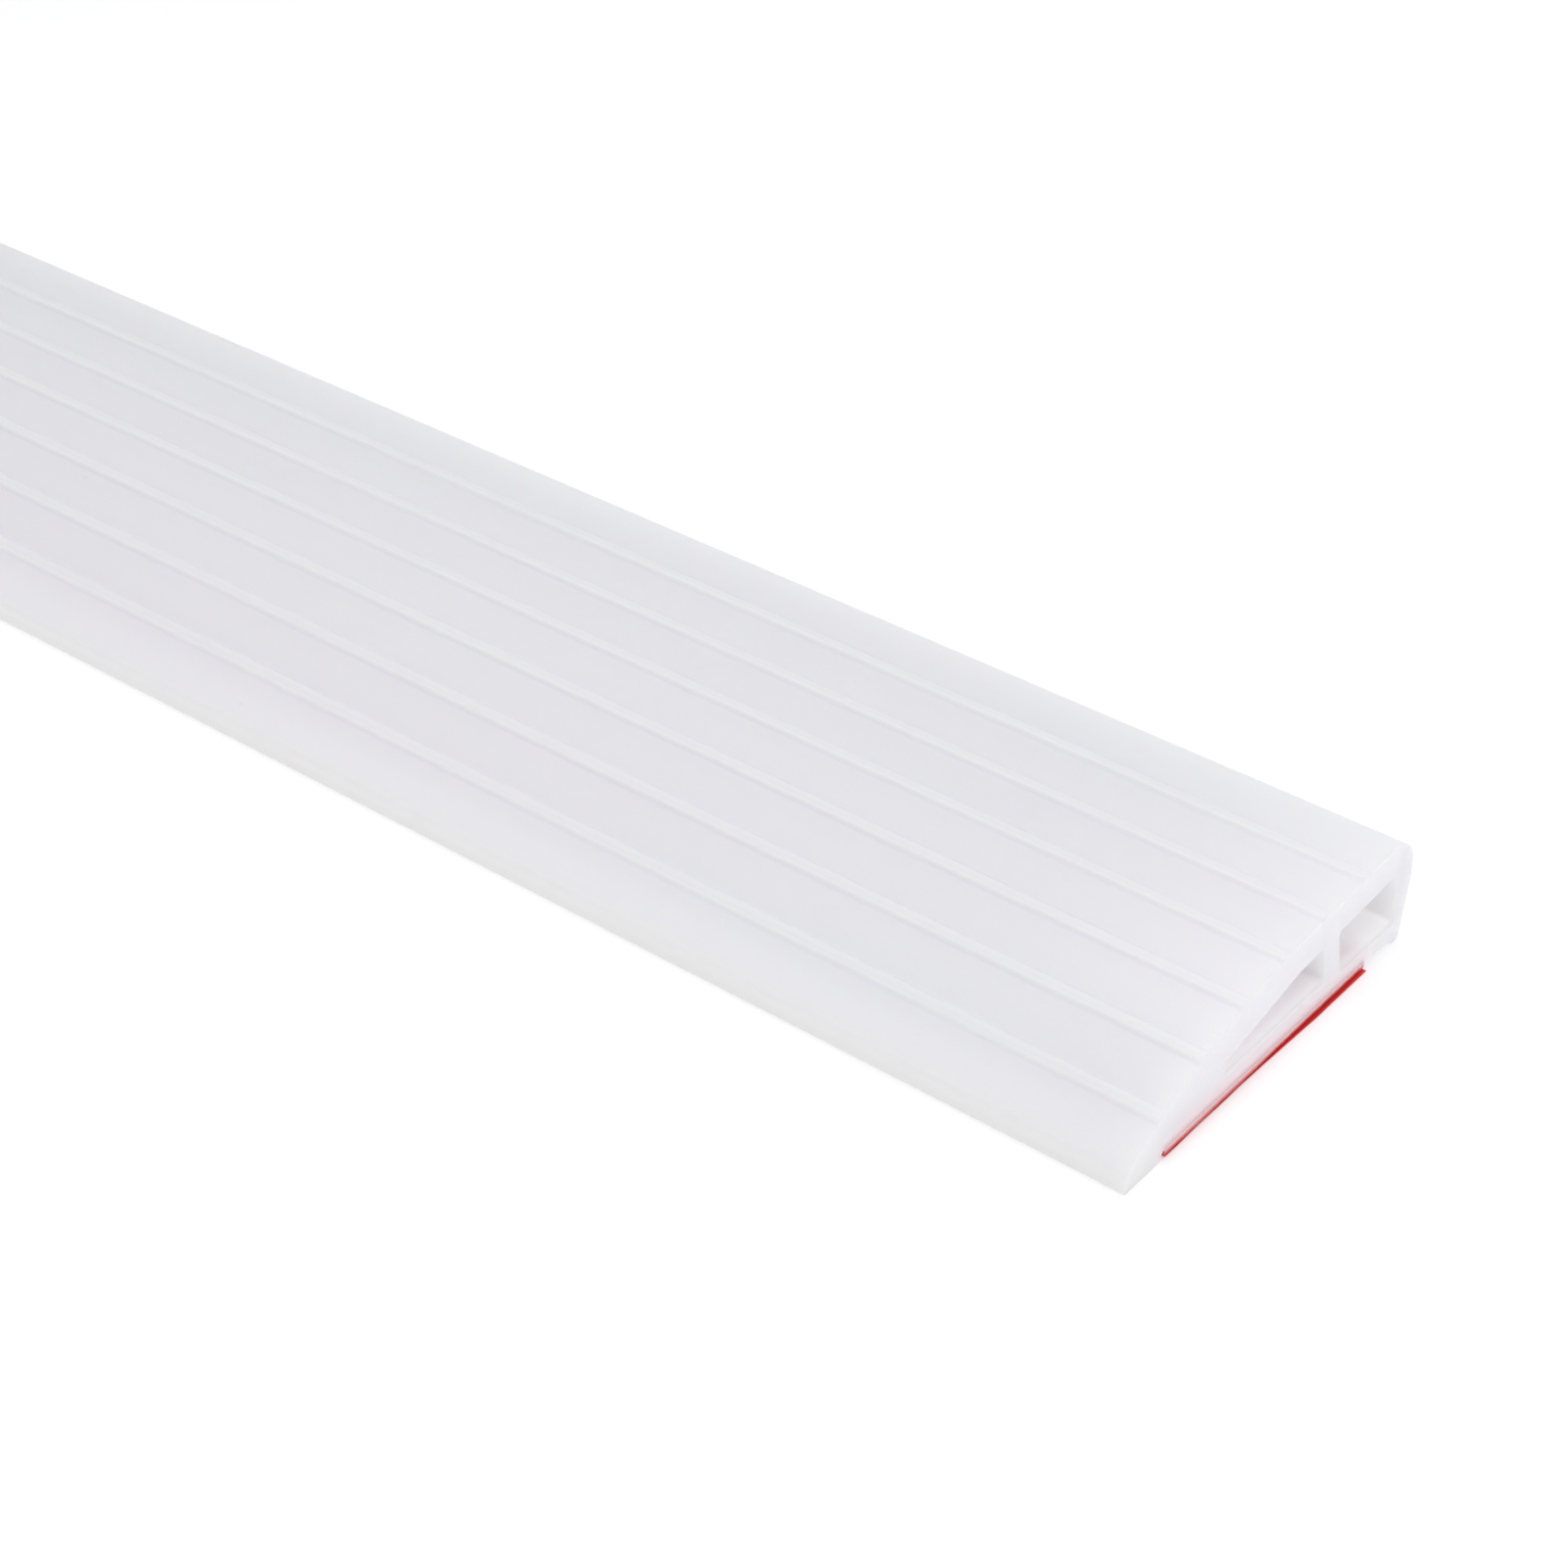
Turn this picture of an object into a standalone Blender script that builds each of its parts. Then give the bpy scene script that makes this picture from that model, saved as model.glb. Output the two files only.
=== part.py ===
"""Self-adhesive threshold ramp strip, cut from a roll or bar of hollow extruded wedge profile.

Frame: X runs along the strip, Y from the thin toe (-Y) to the tall back (+Y), Z is up.
The origin is on the floor, under the middle of the strip.
Section outlines are drawn as (y, z) with y measured from the toe, and moved onto the frame last.
"""
import math

import bmesh
import bpy
from mathutils import Vector

# Driving dimensions, metres
STRIP_LENGTH = 1.000
BASE_WIDTH = 0.060            # on the floor, from the toe to the heel edge
BACK_OVERHANG = 0.0017        # the back face stands this far out over the heel edge
BACK_HEIGHT = 0.016           # where the tread would meet the back face without the rounding
NOSE_HEIGHT = 0.0030          # where the tread would meet the toe face without the rounding
TREAD_PITCH = math.radians(3.8)   # fall of the flat crest towards the toe
CREST_LENGTH = 0.027          # flat part of the tread, measured level from the back face
UNDERCUT_HEIGHT = 0.008       # the back face leans in below this height

# Corner radii
BACK_RADIUS = 0.0048
NOSE_RADIUS = 0.0016
EDGE_RADIUS = 0.0004

# Grip ribs on the tread
RIB_COUNT = 6
RIB_FIRST = 0.0080            # from the toe edge, along the tread
RIB_LAST = 0.0117             # from the back face, along the tread
RIB_WIDTH = 0.0021
RIB_CROWN = 0.0013            # flat top of a rib
RIB_HEIGHT = 0.00045

# Two hollow chambers and the web between them
TREAD_WALL = 0.0046
BACK_WALL = 0.0022            # at the floor of the back chamber
WEB_WALL = 0.0037
BACK_FLOOR = 0.0019
FRONT_FLOOR = 0.0029
BACK_CHAMBER_WIDTH = 0.0126
CHAMBER_LEAN = math.radians(10)   # the chamber walls lean back as they go down
SHOULDER_LENGTH = 0.0050      # front chamber's ceiling beside the web, level with the crest
TIP_SETBACK = 0.0190          # from the toe face to the front chamber's tip
TIP_HEIGHT = 0.0019
TIP_LEAN = 0.0012
CHAMBER_RADIUS = 0.0006
TIP_RADIUS = 0.0008

# Adhesive tape and its release liner, in the recess under the floor
TAPE_THICKNESS = 0.0005
LINER_THICKNESS = 0.00015
LINER_MARGIN = 0.0003         # the liner reaches this far past the tape's edges
LINER_OVERHANG = 0.0006       # the liner stands out of the strip at both ends
LINER_LIFT = 0.00015          # the liner stays this far above the floor
TOUCH_GAP = 0.0003            # between pieces that lie on each other
SIDE_CLEARANCE = 0.0005       # between the liner's edges and the recess
TOE_LAND = 0.0072             # flat of the toe that stands on the floor
RECESS_STEP = 0.0005          # run of the recess's sloping toe side
HEEL_LAND = 0.0014            # flat of the heel that stands on the floor
HEEL_STEP = 0.0006            # run and rise of the heel's inner side
HEEL_RELIEF = 0.0056          # run of the shallow slope from the recess's flat to the heel

CUTTER_EXCESS = 0.010         # cutters run past both ends of the strip
ARC_STEP = math.radians(15)   # longest turn of one facet on a rounded corner
TREAD_FACET = 0.0030          # longest facet along the curved tread

# Worked out from the above
BACK_FACE = BASE_WIDTH + BACK_OVERHANG
RECESS_DEPTH = LINER_LIFT + LINER_THICKNESS + TOUCH_GAP + TAPE_THICKNESS + TOUCH_GAP
RECESS_START = TOE_LAND + RECESS_STEP
RECESS_END = BASE_WIDTH - HEEL_LAND - HEEL_STEP - HEEL_RELIEF
TAPE_MIDDLE = (RECESS_START + RECESS_END) / 2
LINER_WIDTH = RECESS_END - RECESS_START - 2 * SIDE_CLEARANCE
TAPE_WIDTH = LINER_WIDTH - 2 * LINER_MARGIN
CREST_START = Vector((BACK_FACE - CREST_LENGTH,
                      BACK_HEIGHT - CREST_LENGTH * math.tan(TREAD_PITCH)))
CREST_ALONG = Vector((math.cos(TREAD_PITCH), math.sin(TREAD_PITCH)))
CREST_NORMAL = Vector((-math.sin(TREAD_PITCH), math.cos(TREAD_PITCH)))
TOE_TOP = Vector((0.0, NOSE_HEIGHT))


def tread_radius():
    """Radius of the arc that leaves the crest smoothly and ends at the top of the toe."""
    chord = CREST_START - TOE_TOP
    return chord.length_squared / (2 * chord.dot(CREST_NORMAL))


def tread_arc_length():
    """Length along the curved tread, from the crest's start down to the toe."""
    radius = tread_radius()
    centre = CREST_START - radius * CREST_NORMAL
    toe = TOE_TOP - centre
    return radius * (math.atan2(-toe.x, toe.y) - TREAD_PITCH)


def tread_point(from_toe, relief=0.0):
    """Point on the tread at a distance from the toe along it, raised by relief."""
    radius = tread_radius()
    before_crest = tread_arc_length() - from_toe
    if before_crest <= 0:
        return CREST_START - before_crest * CREST_ALONG + relief * CREST_NORMAL
    centre = CREST_START - radius * CREST_NORMAL
    turn = TREAD_PITCH + before_crest / radius
    return centre + (radius + relief) * Vector((-math.sin(turn), math.cos(turn)))


def rib_places():
    """Middles of the evenly spaced ribs, as distances from the toe along the tread."""
    last = tread_arc_length() + CREST_LENGTH / math.cos(TREAD_PITCH) - RIB_LAST
    spacing = (last - RIB_FIRST) / (RIB_COUNT - 1)
    return [RIB_FIRST + number * spacing for number in range(RIB_COUNT)]


def tread_outline():
    """The ribbed tread from the toe's first rib to the last rib, as points on the curve."""
    points = []
    plain_from = RIB_FIRST / 2
    for place in rib_places():
        base_start = place - RIB_WIDTH / 2
        facets = max(1, math.ceil((base_start - plain_from) / TREAD_FACET))
        for facet in range(facets):
            points.append(tread_point(plain_from + (base_start - plain_from) * facet / facets))
        points.append(tread_point(base_start))
        points.append(tread_point(place - RIB_CROWN / 2, RIB_HEIGHT))
        points.append(tread_point(place + RIB_CROWN / 2, RIB_HEIGHT))
        points.append(tread_point(place + RIB_WIDTH / 2))
        plain_from = place + RIB_WIDTH / 2
    return points


def rounded(corners):
    """Outline through corners given as (y, z, radius), with an arc at each radius above 0."""
    outline = []
    for index, (y, z, radius) in enumerate(corners):
        corner = Vector((y, z))
        if radius == 0:
            outline.append(corner)
            continue
        before = (Vector(corners[index - 1][:2]) - corner).normalized()
        after = (Vector(corners[(index + 1) % len(corners)][:2]) - corner).normalized()
        half_angle = before.angle(after) / 2
        reach = radius / math.tan(half_angle)
        centre = corner + (before + after).normalized() * radius / math.sin(half_angle)
        start = corner + before * reach - centre
        end = corner + after * reach - centre
        turn = start.angle_signed(end)
        steps = max(1, math.ceil(abs(turn) / ARC_STEP))
        for step in range(steps + 1):
            angle = -turn * step / steps
            swung = Vector((start.x * math.cos(angle) - start.y * math.sin(angle),
                            start.x * math.sin(angle) + start.y * math.cos(angle)))
            outline.append(centre + swung)
    return outline


def body_outline():
    """Outside of the section, clockwise from the toe's tread over the back to the floor."""
    tread = [(point.x, point.y, 0) for point in tread_outline()]
    heel_inner = BASE_WIDTH - HEEL_LAND
    back = [(BACK_FACE, BACK_HEIGHT, BACK_RADIUS),
            (BACK_FACE, UNDERCUT_HEIGHT, 0)]
    heel = [(BASE_WIDTH, 0.0, EDGE_RADIUS),
            (heel_inner, 0.0, 0),
            (heel_inner - HEEL_STEP, HEEL_STEP, 0)]
    recess = [(RECESS_END, RECESS_DEPTH, 0),
              (RECESS_START, RECESS_DEPTH, 0),
              (TOE_LAND, 0.0, 0)]
    toe = [(0.0, 0.0, EDGE_RADIUS),
           (0.0, NOSE_HEIGHT, NOSE_RADIUS)]
    return rounded(tread + back + heel + recess + toe)


def ceiling_height(y):
    """Underside of the tread wall, parallel to the flat crest."""
    return BACK_HEIGHT - TREAD_WALL - (BACK_FACE - y) * math.tan(TREAD_PITCH)


def wall_top(foot_y, foot_z):
    """Where a leaning chamber wall that stands at a point on the floor meets the ceiling."""
    lean = math.tan(CHAMBER_LEAN)
    rise = ceiling_height(foot_y) - foot_z
    height = rise / (1 + lean * math.tan(TREAD_PITCH))
    return foot_y - height * lean, foot_z + height


def back_chamber_outline():
    floor = RECESS_DEPTH + BACK_FLOOR
    back_lean = BACK_OVERHANG * floor / UNDERCUT_HEIGHT
    back_foot = BASE_WIDTH + back_lean - BACK_WALL
    web_foot = back_foot - BACK_CHAMBER_WIDTH
    corners = [wall_top(web_foot, floor), wall_top(back_foot, floor),
               (back_foot, floor), (web_foot, floor)]
    return rounded([(y, z, CHAMBER_RADIUS) for y, z in corners])


def front_chamber_outline():
    floor = RECESS_DEPTH + FRONT_FLOOR
    back_chamber_floor = RECESS_DEPTH + BACK_FLOOR
    back_lean = BACK_OVERHANG * back_chamber_floor / UNDERCUT_HEIGHT
    web_back = BASE_WIDTH + back_lean - BACK_WALL - BACK_CHAMBER_WIDTH
    web_front = web_back - WEB_WALL - (floor - back_chamber_floor) * math.tan(CHAMBER_LEAN)
    top_y, top_z = wall_top(web_front, floor)
    shoulder_y = top_y - SHOULDER_LENGTH
    return rounded([
        (TIP_SETBACK, floor, TIP_RADIUS),
        (TIP_SETBACK + TIP_LEAN, floor + TIP_HEIGHT, TIP_RADIUS),
        (shoulder_y, ceiling_height(shoulder_y), CHAMBER_RADIUS),
        (top_y, top_z, CHAMBER_RADIUS),
        (web_front, floor, CHAMBER_RADIUS)])


def slab_outline(width, bottom, thickness):
    """Flat strip of tape or film, centred under the recess."""
    left = TAPE_MIDDLE - width / 2
    right = TAPE_MIDDLE + width / 2
    return [Vector((left, bottom)), Vector((left, bottom + thickness)),
            Vector((right, bottom + thickness)), Vector((right, bottom))]


def principled(name, colour, roughness):
    material = bpy.data.materials.new(name)
    material.use_nodes = True
    shader = material.node_tree.nodes["Principled BSDF"]
    shader.inputs["Base Color"].default_value = (*colour, 1.0)
    shader.inputs["Roughness"].default_value = roughness
    shader.inputs["Metallic"].default_value = 0.0
    return material


def extruded(name, outline, length, origin, material):
    """Prism along X with its origin given in the frame, from a clockwise (y, z) outline."""
    mesh = bpy.data.meshes.new(name)
    shape = bmesh.new()
    near = [Vector((length / 2, point.x - BACK_FACE / 2, point.y)) - origin for point in outline]
    ring = [shape.verts.new(place) for place in near]
    cap = shape.faces.new(ring)
    swept = bmesh.ops.extrude_face_region(shape, geom=[cap])
    moved = [item for item in swept["geom"] if isinstance(item, bmesh.types.BMVert)]
    bmesh.ops.translate(shape, verts=moved, vec=(-length, 0.0, 0.0))
    bmesh.ops.recalc_face_normals(shape, faces=shape.faces)
    shape.to_mesh(mesh)
    shape.free()
    mesh.materials.append(material)
    mesh.shade_smooth()
    mesh.set_sharp_from_angle(angle=math.radians(28))
    piece = bpy.data.objects.new(name, mesh)
    piece.location = origin
    bpy.context.scene.collection.objects.link(piece)
    return piece


def cut_through(piece, name, outline, material):
    """Cut a passage of the given section through the whole length of a piece."""
    cutter = extruded(name, outline, STRIP_LENGTH + 2 * CUTTER_EXCESS, Vector(), material)
    cutter.hide_render = True
    cutter.display_type = "WIRE"
    modifier = piece.modifiers.new(name, "BOOLEAN")
    modifier.operation = "DIFFERENCE"
    modifier.solver = "EXACT"
    modifier.object = cutter


def make_ramp_strip():
    plastic = principled("white_soft_pvc", (0.84, 0.84, 0.86), 0.35)
    ramp = extruded("ramp_strip", body_outline(), STRIP_LENGTH, Vector(), plastic)
    cut_through(ramp, "back_chamber_cutter", back_chamber_outline(), plastic)
    cut_through(ramp, "front_chamber_cutter", front_chamber_outline(), plastic)
    return ramp


def make_adhesive_tape():
    adhesive = principled("clear_acrylic_adhesive", (0.62, 0.12, 0.11), 0.30)
    bottom = RECESS_DEPTH - TOUCH_GAP - TAPE_THICKNESS
    outline = slab_outline(TAPE_WIDTH, bottom, TAPE_THICKNESS)
    return extruded("adhesive_tape", outline, STRIP_LENGTH, Vector(), adhesive)


def make_release_liner():
    """Its origin is in the middle of the film, on the line that it slides out along."""
    film = principled("red_release_film", (0.62, 0.02, 0.02), 0.20)
    middle = Vector((0.0, TAPE_MIDDLE - BACK_FACE / 2, LINER_LIFT + LINER_THICKNESS / 2))
    outline = slab_outline(LINER_WIDTH, LINER_LIFT, LINER_THICKNESS)
    length = STRIP_LENGTH + 2 * LINER_OVERHANG
    return extruded("release_liner", outline, length, middle, film)


def main():
    for item in list(bpy.data.objects):
        bpy.data.objects.remove(item, do_unlink=True)
    strip_frame = bpy.data.objects.new("strip_frame", None)
    bpy.context.scene.collection.objects.link(strip_frame)
    for piece in (make_ramp_strip(), make_adhesive_tape(), make_release_liner()):
        piece.parent = strip_frame


main()
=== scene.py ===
"""Looks of a self-adhesive threshold ramp strip: soft white extruded plastic, clear tape, red release film.

Everything is in metres, in the part's own frame: X runs along the strip, Y from the thin toe to the tall
back, and Z is up.
"""
import math

import bmesh
import bpy
from mathutils import Euler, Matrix, Vector, geometry, noise


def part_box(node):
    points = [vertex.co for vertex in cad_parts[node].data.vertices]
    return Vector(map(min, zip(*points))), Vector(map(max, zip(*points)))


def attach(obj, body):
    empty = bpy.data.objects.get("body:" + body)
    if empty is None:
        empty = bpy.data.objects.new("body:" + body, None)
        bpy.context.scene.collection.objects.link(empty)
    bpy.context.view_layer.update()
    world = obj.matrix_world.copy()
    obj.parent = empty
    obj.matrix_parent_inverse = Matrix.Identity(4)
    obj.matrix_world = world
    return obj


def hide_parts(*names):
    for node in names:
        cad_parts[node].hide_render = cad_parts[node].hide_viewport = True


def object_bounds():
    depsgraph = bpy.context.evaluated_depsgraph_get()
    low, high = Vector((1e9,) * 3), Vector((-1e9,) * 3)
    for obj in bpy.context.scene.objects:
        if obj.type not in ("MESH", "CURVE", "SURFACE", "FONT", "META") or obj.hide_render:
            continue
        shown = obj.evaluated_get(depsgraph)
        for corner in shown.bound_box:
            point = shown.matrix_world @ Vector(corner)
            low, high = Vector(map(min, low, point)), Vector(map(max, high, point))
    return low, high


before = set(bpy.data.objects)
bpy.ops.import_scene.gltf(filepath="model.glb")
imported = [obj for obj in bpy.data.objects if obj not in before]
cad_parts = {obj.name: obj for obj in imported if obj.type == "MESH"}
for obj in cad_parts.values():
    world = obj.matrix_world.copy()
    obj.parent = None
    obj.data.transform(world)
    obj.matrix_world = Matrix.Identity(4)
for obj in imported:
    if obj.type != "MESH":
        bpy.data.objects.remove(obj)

MM = 0.001
cad_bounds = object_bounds()
ramp_low, ramp_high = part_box("ramp_strip")
tape_low, tape_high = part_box("adhesive_tape")
liner_low, liner_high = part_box("release_liner")
half_tape = (tape_high.y - tape_low.y) / 2
tape_middle = (tape_low.y + tape_high.y) / 2
liner_middle = (liner_low.y + liner_high.y) / 2
BASE_WIDTH = 60 * MM

# Extruded profile
WELD = 0.001 * MM
GENTLE_TURN = math.radians(20)    # corners that turn less than this are parts of a round
GENTLE_REACH = 1.5 * MM
CORNER_REACH = 0.20 * MM          # how far a crisp corner's rounding reaches along its sides
RIB_LIGHT_SHADE_REACH = 0.35 * MM            # how far the painted highlight and painted shade spread from a rib's corners
STATION_STEP = 8 * MM
CUT_ROUND = 0.09 * MM             # rounding of the sawn ends' edges
TREAD_DRIFT = 0.05 * MM           # unevenness of the tread along the strip
FLOOR_MARGIN = 2.0 * MM           # below this height the profile stays true
BURIED_ROUND = 0.3                # how much of the sawn ends' rounding the underside gets

# Tape and film
TOUCH_GAP = 0.3 * MM              # the solids keep this far apart where the real pieces touch
HAIR = 0.01 * MM
FILM_COLUMNS = 48
FILM_STEP = 5 * MM
FILM_SHOWS = 0.02 * MM            # the film stands out of the sawn end at least this far
FILM_REACH = 0.38 * MM            # and this much further at the back side
FILM_RIPPLE = 0.05 * MM
FILM_DIP = 0.11 * MM              # how far the film's ends hang down
FILM_SLACK = 0.02 * MM            # unevenness of the film's faces
TAPE_BULGE = 0.35 * MM            # the pressed tape swells past the solid's edges
TAPE_WAVE = 0.05 * MM
TAPE_RAGGED = 0.05 * MM           # how far its sawn ends are torn back

# White plastic: the clean extrusion, dirt on it, and painted light and shade on it
COOL_WHITE = (0.890, 0.890, 0.934, 1.0)
LILAC_WHITE = (0.896, 0.878, 0.930, 1.0)
PALE_STREAK = (0.912, 0.912, 0.925, 1.0)
# Painted shade at the toe
TOE_SHADE_GREY = (0.868, 0.853, 0.845, 1.0)
# Painted light inside the chambers
CHAMBER_LIGHT_WHITE = (0.985, 0.970, 0.975, 1.0)
# Painted shade on the sawn ends
SAWN_SHADE_GREY = (0.600, 0.590, 0.600, 1.0)
# Painted reflection of the red film on the plastic
FILM_REFLECTED_PINK = (0.930, 0.760, 0.790, 1.0)
# Painted highlight on the ribs' edges, and painted shade in their feet
PAINTED_EDGE_HIGHLIGHT = (0.960, 0.957, 0.945, 1.0)
PAINTED_FOOT_SHADE = (0.640, 0.630, 0.650, 1.0)
DIRT = (0.330, 0.320, 0.310, 1.0)

# Light that comes through the soft walls and off the film
NO_GLOW = (0.0, 0.0, 0.0, 1.0)
WALL_GLOW = (0.168, 0.160, 0.166, 1.0)
FILM_GLOW = (0.185, 0.110, 0.122, 1.0)

# Adhesive over the red film, and the film itself
DEEP_ADHESIVE = (0.420, 0.008, 0.012, 1.0)
LIT_ADHESIVE = (0.700, 0.020, 0.020, 1.0)
MILKY_ADHESIVE = (0.560, 0.260, 0.250, 1.0)
PALE_ADHESIVE = (0.900, 0.560, 0.590, 1.0)
DEEP_RED = (0.480, 0.008, 0.012, 1.0)
BRIGHT_RED = (0.950, 0.050, 0.038, 1.0)

# Floor and studio
STUDIO_WHITE = (0.985, 0.99, 1.0, 1.0)
FLOOR_WHITE = (0.85, 0.85, 0.85, 1.0)
FLOOR_GREY = (0.82, 0.82, 0.82, 1.0)


class Wire:
    """A value, colour or vector inside a material, so that shading reads as plain arithmetic."""

    def __init__(self, shade, socket):
        self.shade = shade
        self.socket = socket

    def maths(self, operation, first, second=0.0):
        node = self.shade.node("ShaderNodeMath", {"operation": operation}, {0: first, 1: second})
        return Wire(self.shade, node.outputs[0])

    def __add__(self, other):
        return self.maths("ADD", self, other)

    def __sub__(self, other):
        return self.maths("SUBTRACT", self, other)

    def __rsub__(self, other):
        return self.maths("SUBTRACT", other, self)

    def __mul__(self, other):
        return self.maths("MULTIPLY", self, other)

    def __pow__(self, other):
        return self.maths("POWER", self, other)

    def __gt__(self, other):
        return self.maths("GREATER_THAN", self, other)

    def __abs__(self):
        return self.maths("ABSOLUTE", self)

    __radd__ = __add__
    __rmul__ = __mul__


class Shade:
    """The nodes of one material, or of the surroundings, and the few ways they are made."""

    def __init__(self, owner, surface="Principled BSDF", place="Object", **settings):
        owner.use_nodes = True
        self.owner = owner
        self.tree = owner.node_tree
        self.surface = self.tree.nodes[surface]
        for socket, value in settings.items():
            self.surface.inputs[socket.replace("_", " ")].default_value = value
        self.place = self.out("ShaderNodeTexCoord", place)

    def node(self, kind, settings=None, sockets=None):
        made = self.tree.nodes.new(kind)
        for name, value in (settings or {}).items():
            setattr(made, name, value)
        for name, value in (sockets or {}).items():
            if isinstance(value, Wire):
                self.tree.links.new(value.socket, made.inputs[name])
            else:
                made.inputs[name].default_value = value
        return made

    def out(self, kind, output, settings=None, sockets=None):
        return Wire(self, self.node(kind, settings, sockets).outputs[output])

    def axes(self):
        split = self.node("ShaderNodeSeparateXYZ", sockets={0: self.place})
        return [Wire(self, output) for output in split.outputs]

    def stretched(self, scale, turn=(0.0, 0.0, 0.0)):
        sockets = {"Vector": self.place, "Scale": scale, "Rotation": turn}
        return self.out("ShaderNodeMapping", 0, sockets=sockets)

    def painted(self, layer):
        """A value that the mesh carries at its points."""
        return self.out("ShaderNodeAttribute", "Fac", {"attribute_name": layer})

    def cloud(self, scale, detail=3.0, place=None):
        sockets = {"Vector": place or self.place, "Scale": scale, "Detail": detail}
        return self.out("ShaderNodeTexNoise", "Fac", sockets=sockets)

    def ramp(self, value, low, high, start=0.0, end=1.0):
        """Smooth step of a value from low to high."""
        settings = {"interpolation_type": "SMOOTHSTEP"}
        sockets = {"Value": value, "From Min": low, "From Max": high, "To Min": start, "To Max": end}
        return self.out("ShaderNodeMapRange", 0, settings, sockets)

    def mixed(self, share, first, second):
        sockets = {"Factor": share, 6: first, 7: second}
        return self.out("ShaderNodeMix", 2, {"data_type": "RGBA"}, sockets)

    def feed(self, socket, wire):
        self.tree.links.new(wire.socket, self.surface.inputs[socket])

    def bump(self, *layers):
        """Relief in the order given, each layer as (height, depth in metres)."""
        normal = None
        for height, depth in layers:
            sockets = {"Height": height, "Distance": depth, "Strength": 1.0}
            if normal:
                sockets["Normal"] = normal
            normal = self.out("ShaderNodeBump", 0, sockets=sockets)
        self.feed("Normal", normal)


def specks(shade, cell, size, share, place=None):
    """1 inside small scattered dots, 0 elsewhere."""
    sockets = {"Vector": place or shade.place, "Scale": 1 / cell, "Randomness": 1.0}
    dots = shade.node("ShaderNodeTexVoronoi", sockets=sockets)
    distance = Wire(shade, dots.outputs["Distance"])
    chosen = shade.out("ShaderNodeSeparateColor", 0, sockets={0: Wire(shade, dots.outputs["Color"])})
    near = shade.ramp(distance, size / cell, size / cell * 0.4)
    return near * (chosen > 1 - share)


def extruded_white(shade, across, up):
    """Cool white with lilac patches and pale streaks along the strip, greyer and warmer at the toe as painted
    shade.
    """
    patches = shade.cloud(9.0, 2.0, shade.stretched((0.45, 2.4, 2.4)))
    tint = shade.mixed(shade.ramp(patches, 0.38, 0.66), COOL_WHITE, LILAC_WHITE)
    streaks = shade.cloud(14.0, 3.0, shade.stretched((0.35, 9.0, 9.0)))
    tint = shade.mixed(shade.ramp(streaks, 0.52, 0.78, 0.0, 0.35), tint, PALE_STREAK)
    toe = ramp_low.y
    # Painted shade: greyer and warmer low down at the toe
    toe_shade = shade.ramp(up, 5.0 * MM, 2.0 * MM) * shade.ramp(across, toe + 9 * MM, toe + 2 * MM)
    return shade.mixed(toe_shade * 0.8, tint, TOE_SHADE_GREY)


def specks_and_rib_light_shade(shade, tint):
    """Specks and faint smudges of dirt, a painted highlight on the ribs' edges and painted shade beside them.
    """
    fine = specks(shade, 11 * MM, 0.21 * MM, 0.22)
    faint = specks(shade, 7 * MM, 0.45 * MM, 0.10, shade.stretched((0.6, 1.0, 1.0), (0.0, 0.0, 0.7)))
    smudge = shade.ramp(shade.cloud(26.0, 4.0), 0.66, 0.80, 0.0, 0.05)
    tint = shade.mixed(fine * 0.75 + faint * 0.10 + smudge, tint, DIRT)
    # Painted highlight on the ribs' toe-side edges and painted shade in their feet
    rib_light_shade = shade.painted("rib_light_shade")
    uneven = shade.ramp(shade.cloud(30.0, 4.0, shade.stretched((1.0, 0.2, 0.2))), 0.25, 0.75, 0.35, 1.0)
    tint = shade.mixed(shade.ramp(rib_light_shade, 0.0, 1.0) * uneven * 0.4, tint, PAINTED_EDGE_HIGHLIGHT)
    return shade.mixed(shade.ramp(rib_light_shade, 0.0, -1.0) * uneven * 0.07, tint, PAINTED_FOOT_SHADE)


def near_end(shade, along, start, full):
    """0 further than start from both ends of the strip, 1 nearer than full."""
    return shade.ramp(abs(along), ramp_high.x - start, ramp_high.x - full)


def wall_and_film_light(shade, along, across, low):
    """The light that soft walls let into the chambers, and that the film throws on the plastic over it."""
    lip = shade.ramp(abs(along), ramp_high.x - 0.8 * MM, ramp_high.x - 0.2 * MM, 1.0, 0.25)
    let_in = shade.painted("through") * near_end(shade, along, 30 * MM, 6 * MM) * lip
    glow = shade.mixed(let_in, NO_GLOW, WALL_GLOW)
    over_film = shade.ramp(abs(across - tape_middle), half_tape + 3 * MM, half_tape - 1 * MM)
    thrown = low * low * over_film * near_end(shade, along, 8 * MM, 2 * MM)
    return shade.mixed(thrown * 0.9, glow, FILM_GLOW)


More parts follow.
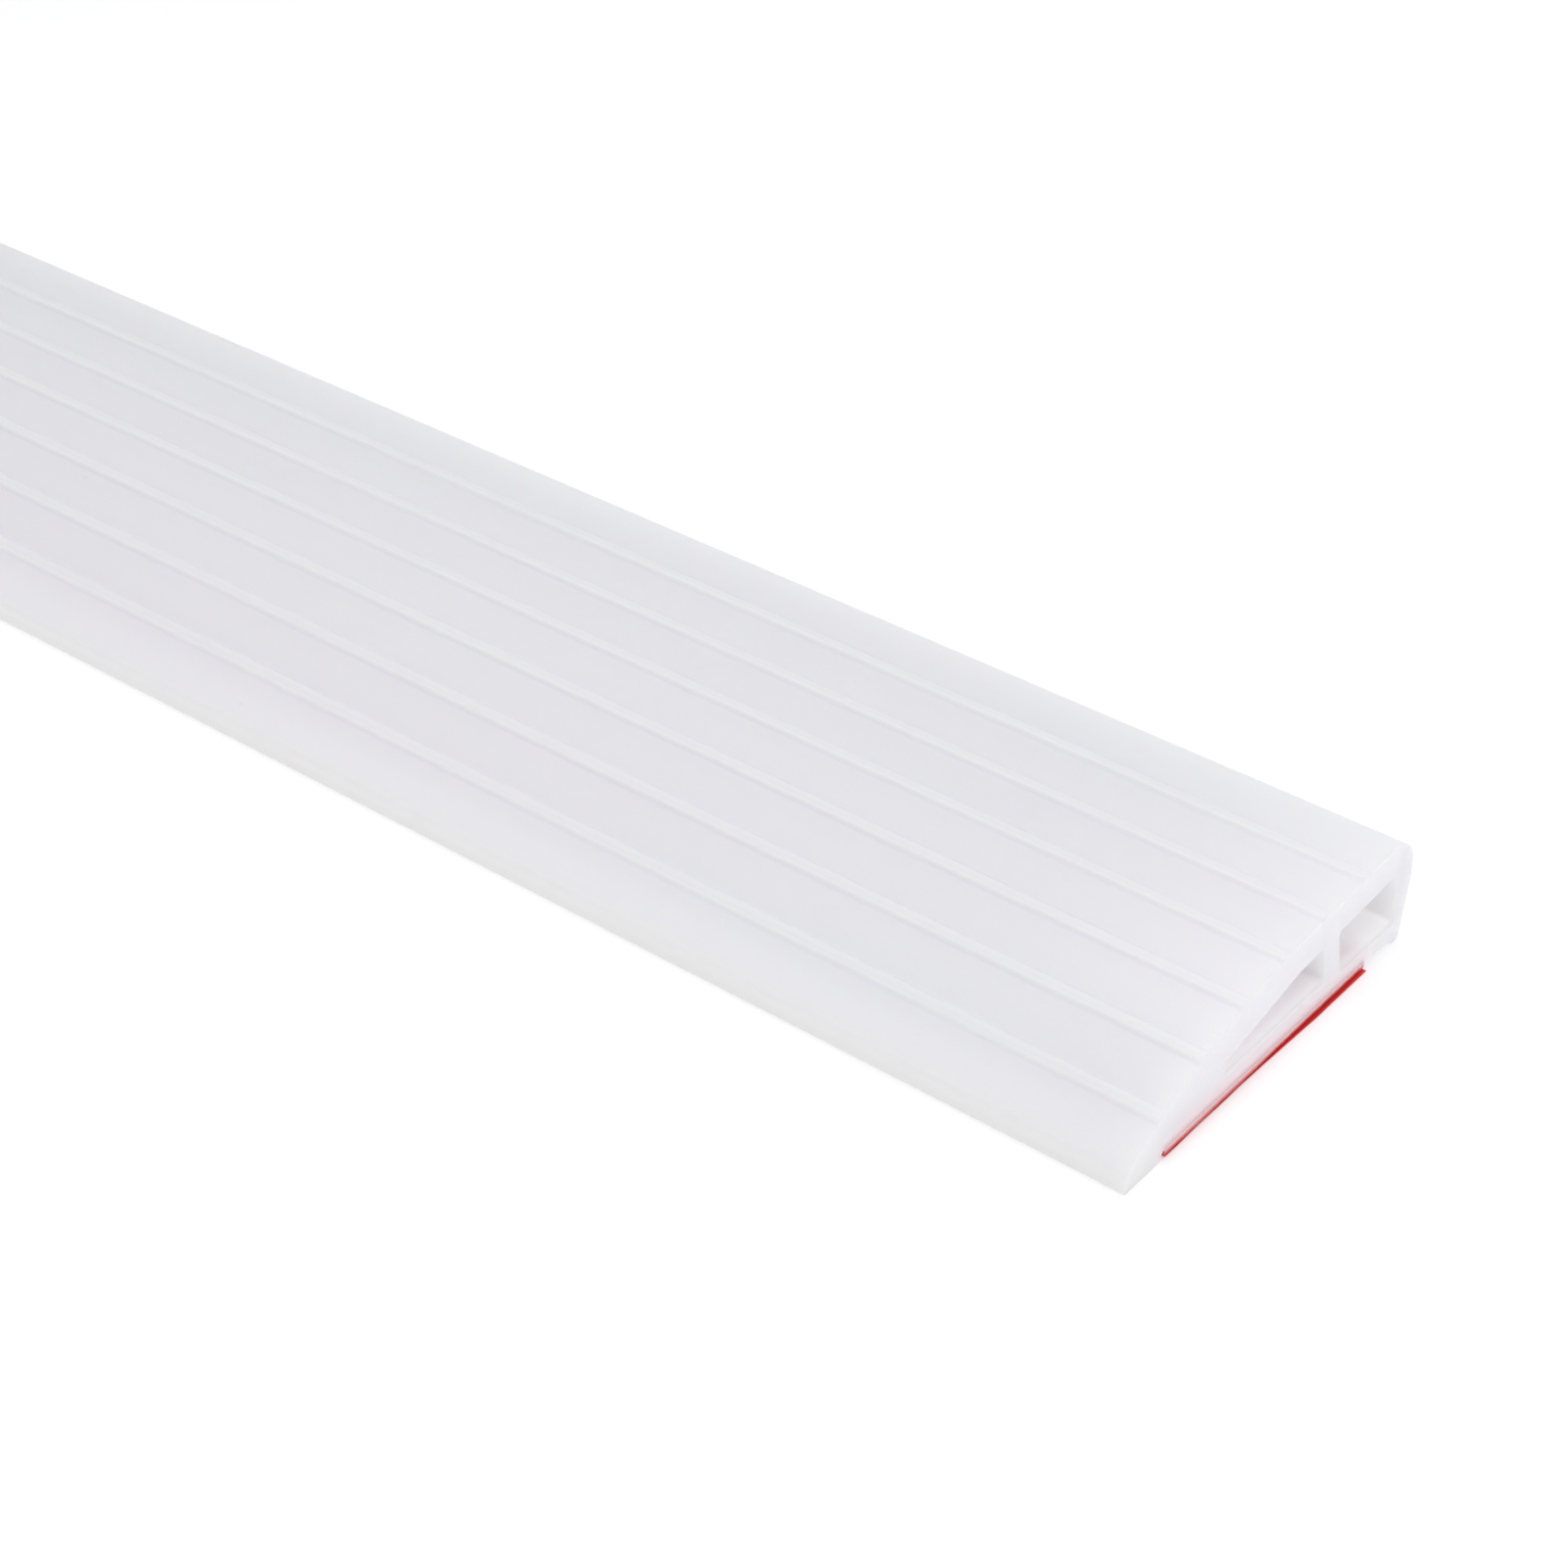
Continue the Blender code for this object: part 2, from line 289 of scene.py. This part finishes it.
def white_plastic():
    """Soft extruded plastic: cool white, faint die lines, a little dirt, red light from the film, and painted
    light and shade.
    """
    shade = Shade(bpy.data.materials.new("white_soft_plastic"), Roughness=0.40, IOR=1.46,
                  Subsurface_Weight=1.0, Subsurface_Radius=(1.0, 0.92, 0.88), Subsurface_Scale=6 * MM,
                  Emission_Strength=1.0)
    along, across, up = shade.axes()
    low = shade.ramp(up, 6.5 * MM, 1.2 * MM) ** 1.6
    beside = shade.ramp(abs(across - tape_middle), half_tape + 1 * MM, half_tape - 4 * MM)
    # Painted reflection: the plastic low beside the tape is pink with the film's red, most at the ends
    film_reflection_share = low * beside * (near_end(shade, along, 14 * MM, 0.0) * 0.45 + 0.25)
    tint = shade.mixed(film_reflection_share, extruded_white(shade, across, up), FILM_REFLECTED_PINK)
    tint = specks_and_rib_light_shade(shade, tint)
    # Painted light: the chambers' insides are lighter than the rest
    tint = shade.mixed(shade.painted("hollow") * 0.4, tint, CHAMBER_LIGHT_WHITE)

    # Painted shade: the sawn ends are darker, most on the thin back wall, with real saw drag marks in it
    sawn = near_end(shade, along, 0.10 * MM, 0.02 * MM)
    drag = shade.cloud(1.0, 3.0, shade.stretched((200.0, 500.0, 3200.0), (0.5, 0.0, 0.0)))
    thin_wall = shade.ramp(across, ramp_high.y - 5 * MM, ramp_high.y - 2 * MM)
    sawn_shade_share = sawn * (shade.ramp(drag, 0.3, 0.7) * 0.07 + thin_wall * 0.22 + 0.06)
    shade.feed("Base Color", shade.mixed(sawn_shade_share, tint, SAWN_SHADE_GREY))
    shade.feed("Emission Color", wall_and_film_light(shade, along, across, low))

    lines = shade.cloud(1.0, 2.0, shade.stretched((2.0, 2600.0, 2600.0)))
    grain = shade.cloud(900.0, 3.0)
    waves = shade.cloud(40.0, 2.0, shade.stretched((0.25, 1.0, 1.0)))
    shade.feed("Roughness", shade.ramp(lines, 0.3, 0.7, 0.36, 0.46) + (grain - 0.5) * 0.06)
    shade.bump((waves, 0.10 * MM), (lines, 0.006 * MM), (grain, 0.010 * MM), (drag * sawn, 0.020 * MM))
    return shade.owner


def clear_tape():
    """Clear adhesive: red film shows through low down, white plastic higher up, with small bubbles."""
    shade = Shade(bpy.data.materials.new("clear_adhesive_over_red"), Roughness=0.28, IOR=1.47,
                  Coat_Weight=0.35, Coat_Roughness=0.12)
    _, across, up = shade.axes()
    # Painted light: lit red low down, deeper red higher up
    tint = shade.mixed(shade.ramp(up, liner_high.z, tape_high.z), LIT_ADHESIVE, DEEP_ADHESIVE)
    cloudy = shade.ramp(shade.cloud(260.0, 3.0), 0.45, 0.75, 0.0, 0.5)
    tint = shade.mixed(cloudy * 0.5, tint, LIT_ADHESIVE)
    rear_edge = shade.ramp(across, tape_high.y - 0.9 * MM, tape_high.y - 0.1 * MM)
    bubbles = specks(shade, 1.6 * MM, 0.16 * MM, 0.35)
    tint = shade.mixed(rear_edge * 0.7 + bubbles * 0.5, tint, MILKY_ADHESIVE)
    pale = shade.ramp(up, liner_high.z + 0.20 * MM, liner_high.z + 0.95 * MM)
    shade.feed("Base Color", shade.mixed(pale, tint, PALE_ADHESIVE))
    shade.feed("Roughness", shade.ramp(shade.cloud(700.0), 0.3, 0.7, 0.20, 0.36))
    shade.bump((shade.cloud(420.0, 3.0), 0.05 * MM), (bubbles, 0.03 * MM))
    return shade.owner


def red_film():
    """Thin glossy release film, slightly creased, with a painted reflection that makes it brighter towards
    the back.
    """
    shade = Shade(bpy.data.materials.new("red_release_film"), Roughness=0.22, IOR=1.50,
                  Coat_Weight=0.25, Coat_Roughness=0.08)
    _, across, _ = shade.axes()
    thin = shade.ramp(shade.cloud(30.0, 2.0, shade.stretched((0.3, 1.0, 1.0))), 0.30, 0.70, 0.25, 0.90)
    # Painted reflection: brighter towards the back
    back_reflection = shade.ramp(across, liner_middle - 8 * MM, liner_middle + 8 * MM, 0.25, 1.0)
    shade.feed("Base Color", shade.mixed(thin * back_reflection, DEEP_RED, BRIGHT_RED))
    crinkle = shade.cloud(300.0, 3.0, shade.stretched((1.0, 0.4, 1.0), (0.0, 0.0, 0.5)))
    long_waves = shade.cloud(24.0, 2.0)
    shade.feed("Roughness", shade.ramp(crinkle, 0.3, 0.7, 0.16, 0.30))
    shade.bump((long_waves, 0.35 * MM), (crinkle, 0.010 * MM))
    return shade.owner


def end_outlines(node):
    """The outlines of a prism's +X end as lists of (y, z), the material on the left, the longest first."""
    shape = bmesh.new()
    shape.from_mesh(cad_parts[node].data)
    bmesh.ops.remove_doubles(shape, verts=shape.verts, dist=WELD)
    end = max(vert.co.x for vert in shape.verts)
    follows = {}
    for face in shape.faces:
        if face.calc_center_median().x < end - WELD:
            continue
        for loop in face.loops:
            others = [other for other in loop.edge.link_faces if other is not face]
            if others and others[0].calc_center_median().x < end - WELD:
                follows[loop.vert] = loop.link_loop_next.vert
    outlines = []
    while follows:
        vert = next(iter(follows))
        outline = []
        while vert in follows:
            outline.append(Vector((vert.co.y, vert.co.z)))
            vert = follows.pop(vert)
        outlines.append(outline)
    shape.free()

    def width(outline):
        return max(point.x for point in outline) - min(point.x for point in outline)

    return sorted(outlines, key=width, reverse=True)


def turns(outline):
    """How far the outline turns at each corner: positive where it is convex."""
    found = []
    for index, corner in enumerate(outline):
        before = corner - outline[index - 1]
        after = outline[(index + 1) % len(outline)] - corner
        found.append(before.angle_signed(after) * -1)
    return found


def rib_light_shade_at(found, index):
    """1 on a rib's toe-side top edge for a painted highlight, -1 in the foot below it and -0.6 in the foot
    behind the rib for painted shade.
    """
    nearby = (found[index - 1], found[index], found[(index + 1) % len(found)])
    before, here, after = [0 if abs(turn) < GENTLE_TURN else math.copysign(1, turn) for turn in nearby]
    if here > 0 and after < 0:
        return 1.0
    if here < 0 and before > 0:
        return -1.0
    return -0.6 if here < 0 and after > 0 else 0.0


def softened(outline):
    """The outline as (point, painted rib highlight-and-shade value) pairs, with short curves at crisp corners
    and smooth rounds.
    """
    smooth = []

    def add(point, rib_light_shade):
        if not smooth or (point - smooth[-1][0]).length > HAIR:
            smooth.append((point, rib_light_shade))

    found = turns(outline)
    for index, corner in enumerate(outline):
        before = outline[index - 1] - corner
        after = outline[(index + 1) % len(outline)] - corner
        gentle = abs(found[index]) < GENTLE_TURN
        rib_light_shade = rib_light_shade_at(found, index)
        reach = GENTLE_REACH if gentle else CORNER_REACH
        start = corner + before.normalized() * min(reach, before.length / 2)
        end = corner + after.normalized() * min(reach, after.length / 2)
        if before.length > 3 * RIB_LIGHT_SHADE_REACH and not gentle:
            add(corner + before.normalized() * RIB_LIGHT_SHADE_REACH, 0.0)
        steps = 3 if gentle else 5
        for step in range(steps + 1):
            share = step / steps
            add(start * (1 - share) ** 2 + corner * 2 * share * (1 - share) + end * share ** 2, rib_light_shade)
        if after.length > 3 * RIB_LIGHT_SHADE_REACH and not gentle:
            add(corner + after.normalized() * RIB_LIGHT_SHADE_REACH, 0.0)
    if (smooth[0][0] - smooth[-1][0]).length <= HAIR:
        smooth.pop()
    return smooth


def inwards(outline):
    """Unit vectors from each point of an outline into the material."""
    normals = []
    for index, point in enumerate(outline):
        before = (point - outline[index - 1]).normalized()
        after = (outline[(index + 1) % len(outline)] - point).normalized()
        along = (before + after).normalized()
        normals.append(Vector((-along.y, along.x)))
    return normals


def inside(point, outline):
    within = False
    for index, corner in enumerate(outline):
        last = outline[index - 1]
        if (corner.y > point.y) != (last.y > point.y):
            crossing = corner.x + (last.x - corner.x) * (point.y - corner.y) / (last.y - corner.y)
            within ^= point.x < crossing
    return within


def stations(low, high):
    """Places along X with how far the section is drawn in there, so that the cut edges are rounded."""
    angles = (math.pi / 2, math.pi / 4, math.pi / 9, 0.0)
    start = [(low + CUT_ROUND * (1 - math.sin(angle)), CUT_ROUND * (1 - math.cos(angle))) for angle in angles]
    count = round((high - low) / STATION_STEP)
    body = [(low + (high - low) * number / count, 0.0) for number in range(1, count)]
    finish = [(low + high - x, drawn) for x, drawn in reversed(start)]
    return start + body + finish


def tread_drift(x, point):
    """How far the tread falls below its true shape: wide shallow waves, none near the floor."""
    if point.y < FLOOR_MARGIN:
        return 0.0
    wave = noise.noise(Vector((x * 14, point.x * 60, point.y * 60)))
    return TREAD_DRIFT * (0.5 + 0.5 * wave) * min(1.0, (point.y - FLOOR_MARGIN) / FLOOR_MARGIN)


def link(name, shape, material):
    mesh = bpy.data.meshes.new(name)
    bmesh.ops.recalc_face_normals(shape, faces=shape.faces)
    shape.to_mesh(mesh)
    shape.free()
    mesh.materials.append(material)
    mesh.shade_smooth()
    mesh.set_sharp_from_angle(angle=math.radians(40))
    piece = bpy.data.objects.new(name, mesh)
    bpy.context.scene.collection.objects.link(piece)
    flats = piece.modifiers.new("flats_stay_flat", "WEIGHTED_NORMAL")
    flats.keep_sharp = True
    flats.weight = 80
    return piece


def make_profile():
    """The extruded ramp: its section read from the frame, softened, swept along X and closed at both ends."""
    outlines = [softened(outline) for outline in end_outlines("ramp_strip")]
    places = stations(ramp_low.x, ramp_high.x)
    shape = bmesh.new()
    # Where the ribs' painted highlight and painted shade go
    rib_light_shade_layer = shape.verts.layers.float.new("rib_light_shade")
    hollow_layer = shape.verts.layers.float.new("hollow")
    through_layer = shape.verts.layers.float.new("through")
    end_rings = [[], []]
    for which, outline in enumerate(outlines):
        into = inwards([point for point, _ in outline])
        previous = None
        for number, (x, drawn) in enumerate(places):
            ring = []
            for (point, rib_light_shade), normal in zip(outline, into):
                outer = which == 0
                fall = tread_drift(x, point) if outer else 0.0
                hidden = outer and point.y < FLOOR_MARGIN
                moved = point + normal * (drawn * (BURIED_ROUND if hidden else 1.0) + fall)
                vert = shape.verts.new((x, moved.x, moved.y))
                vert[rib_light_shade_layer] = rib_light_shade if outer and not hidden else 0.0
                vert[hollow_layer] = 0.0 if outer or drawn > 0 else 1.0
                vert[through_layer] = 0.0 if outer else max(0.0, -normal.y, -normal.x * 0.7)
                ring.append(vert)
            if previous:
                for index in range(len(ring)):
                    shape.faces.new((previous[index - 1], previous[index], ring[index], ring[index - 1]))
            previous = ring
            if number == 0:
                end_rings[0].append(ring)
        end_rings[1].append(previous)
    for rings in end_rings:
        close_end(shape, rings)
    return link("ramp_profile", shape, white_plastic())


def close_end(shape, rings):
    """Flat triangles between the outer ring and the chambers' rings."""
    verts = [vert for ring in rings for vert in ring]
    flat = [Vector((vert.co.y, vert.co.z)) for vert in verts]
    edges = []
    start = 0
    loops = []
    for ring in rings:
        edges += [(start + index, start + (index + 1) % len(ring)) for index in range(len(ring))]
        loops.append(flat[start:start + len(ring)])
        start += len(ring)
    points, _, faces, sources, _, _ = geometry.delaunay_2d_cdt(flat, edges, [], 0, 1e-7)
    for face in faces:
        centre = (points[face[0]] + points[face[1]] + points[face[2]]) / 3
        if inside(centre, loops[0]) and not any(inside(centre, hollow) for hollow in loops[1:]):
            shape.faces.new([verts[sources[corner][0]] for corner in face])


def sheet(name, columns, rows, top, bottom, material):
    """A thin closed sheet: top(u, v) and bottom(u, v) give its two faces."""
    shape = bmesh.new()
    layers = []
    for face in (top, bottom):
        layers.append([[shape.verts.new(face(column / columns, row / rows)) for column in range(columns + 1)]
                       for row in range(rows + 1)])
    for grid in layers:
        for row in range(rows):
            for column in range(columns):
                shape.faces.new((grid[row][column], grid[row][column + 1],
                                 grid[row + 1][column + 1], grid[row + 1][column]))
    rim = [(0, column) for column in range(columns)] + [(row, columns) for row in range(rows)]
    rim += [(rows, column) for column in range(columns, 0, -1)] + [(row, 0) for row in range(rows, 0, -1)]
    for (row, column), (next_row, next_column) in zip(rim, rim[1:] + rim[:1]):
        shape.faces.new((layers[0][row][column], layers[0][next_row][next_column],
                         layers[1][next_row][next_column], layers[1][row][column]))
    return link(name, shape, material)


def make_tape():
    """Tape pressed into the recess: it touches the plastic above and the film below, with uneven edges."""
    roof = tape_high.z + TOUCH_GAP - HAIR
    foot = liner_high.z + HAIR

    def side(u, v, height):
        x = tape_low.x + (tape_high.x - tape_low.x) * v
        wave = TAPE_WAVE * noise.noise(Vector((x * 90, 3.0, u)))
        y = tape_low.y + (tape_high.y - tape_low.y) * u
        ends = min(v, 1 - v) == 0
        ragged = TAPE_RAGGED * (0.5 + 0.5 * noise.noise(Vector((y * 420, 7.0, v)))) if ends else 0.0
        x += ragged if v == 0 else -ragged
        edge = 1 if u == 1 else -1 if u == 0 else 0
        return (x, y + edge * (wave + TAPE_BULGE), height)

    return sheet("tape_layer", FILM_COLUMNS, round((tape_high.x - tape_low.x) / FILM_STEP),
                 lambda u, v: side(u, v, roof), lambda u, v: side(u, v, foot), clear_tape())


def film_overhang(u):
    """How far the film stands out of the sawn end, from the toe side to the back side."""
    rise = max(0.0, (u - 0.35) / 0.65)
    ripple = FILM_RIPPLE * noise.noise(Vector((u * 9, 1.0, 0.0)))
    return FILM_SHOWS + FILM_REACH * min(1.0, rise * 1.7) ** 1.3 + ripple


def make_film():
    """Release film under the tape. Its ends stand out of the strip and dip a little."""
    strip_end = ramp_high.x
    thickness = liner_high.z - liner_low.z

    def face(u, v, drop):
        y = liner_low.y + (liner_high.y - liner_low.y) * u
        reach = strip_end + film_overhang(u if v > 0.5 else 1 - u)
        x = -reach + 2 * reach * v
        out = max(0.0, (abs(x) - strip_end + 0.4 * MM) / (0.85 * MM))
        dip = FILM_DIP * min(1.0, out) ** 2 * (0.3 + 0.7 * u)
        slack = FILM_SLACK * (0.5 + 0.5 * noise.noise(Vector((x * 45, y * 160, 5.0))))
        return (x, y, liner_high.z - drop - dip - slack)

    rows = round(2 * strip_end / FILM_STEP)
    return sheet("liner_film", FILM_COLUMNS, rows, lambda u, v: face(u, v, 0.0),
                 lambda u, v: face(u, v, thickness - FILM_SLACK), red_film())


def make_floor():
    """A wide pale floor that gives a little light of its own, so that it reads as white."""
    shade = Shade(bpy.data.materials.new("pale_floor"), Roughness=0.85, IOR=1.30,
                  Emission_Color=(1.0, 1.0, 1.0, 1.0), Emission_Strength=0.30)
    grain = shade.cloud(220.0, 3.0)
    shade.feed("Base Color", shade.mixed(grain * 0.02, FLOOR_WHITE, FLOOR_GREY))
    mesh = bpy.data.meshes.new("floor")
    mesh.from_pydata([(-6, -6, 0), (6, -6, 0), (6, 6, 0), (-6, 6, 0)], [], [(0, 1, 2, 3)])
    mesh.materials.append(shade.owner)
    floor = bpy.data.objects.new("floor", mesh)
    floor.location.z = cad_bounds[0][2]
    bpy.context.scene.collection.objects.link(floor)
    return floor


def area_light(name, place, target, size, power):
    lamp = bpy.data.lights.new(name, "AREA")
    lamp.shape = "DISK"
    lamp.size = size
    lamp.energy = power
    holder = bpy.data.objects.new(name, lamp)
    holder.location = place
    holder.rotation_euler = (target - place).to_track_quat("-Z", "Y").to_euler()
    bpy.context.scene.collection.objects.link(holder)


def make_lights():
    """Even studio light, weaker from below, with two soft lamps over the near end."""
    studio = Shade(bpy.data.worlds.new("studio"), "Background", "Generated", Color=STUDIO_WHITE)
    upwards = Vector((0.15, 0.08, 1.0)).normalized()
    sockets = {0: studio.place, 1: upwards}
    height = studio.out("ShaderNodeVectorMath", "Value", {"operation": "DOT_PRODUCT"}, sockets)
    sockets = {"Value": height, "From Min": -0.7, "From Max": 1.0, "To Min": 0.35, "To Max": 0.80}
    studio.feed("Strength", studio.out("ShaderNodeMapRange", 0, sockets=sockets))
    bpy.context.scene.world = studio.owner
    aim = Vector((ramp_high.x, 0.0, 0.0))
    area_light("soft_key", aim + Vector((0.44, 0.09, 0.40)), aim, 0.16, 0.14)
    area_light("soft_top", aim + Vector((-0.05, 0.05, 0.55)), aim, 0.40, 0.62)
    bpy.context.scene.view_settings.view_transform = "Standard"


def make_camera():
    """Looks down at the near end from the toe side. Distances are in widths of the base."""
    lens = bpy.data.cameras.new("camera")
    lens.sensor_width = 36.0
    lens.lens = 77.96
    lens.clip_start = 0.01
    camera = bpy.data.objects.new("camera", lens)
    toe_corner = Vector((ramp_high.x, ramp_low.y, 0.0))
    camera.location = toe_corner + Vector((2.4586, -4.0827, 4.3291)) * BASE_WIDTH
    azimuth = math.radians(38.737)
    elevation = math.radians(35.588)
    camera.rotation_euler = Euler((math.pi / 2 - elevation, 0.0, azimuth), "XYZ")
    bpy.context.scene.collection.objects.link(camera)
    bpy.context.scene.camera = camera


profile = make_profile()
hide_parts("ramp_strip")
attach(profile, "strip")

tape = make_tape()
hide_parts("adhesive_tape")
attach(tape, "strip")

film = make_film()
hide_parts("release_liner")
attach(film, "liner")

make_floor()
make_lights()
make_camera()

bpy.context.view_layer.update()
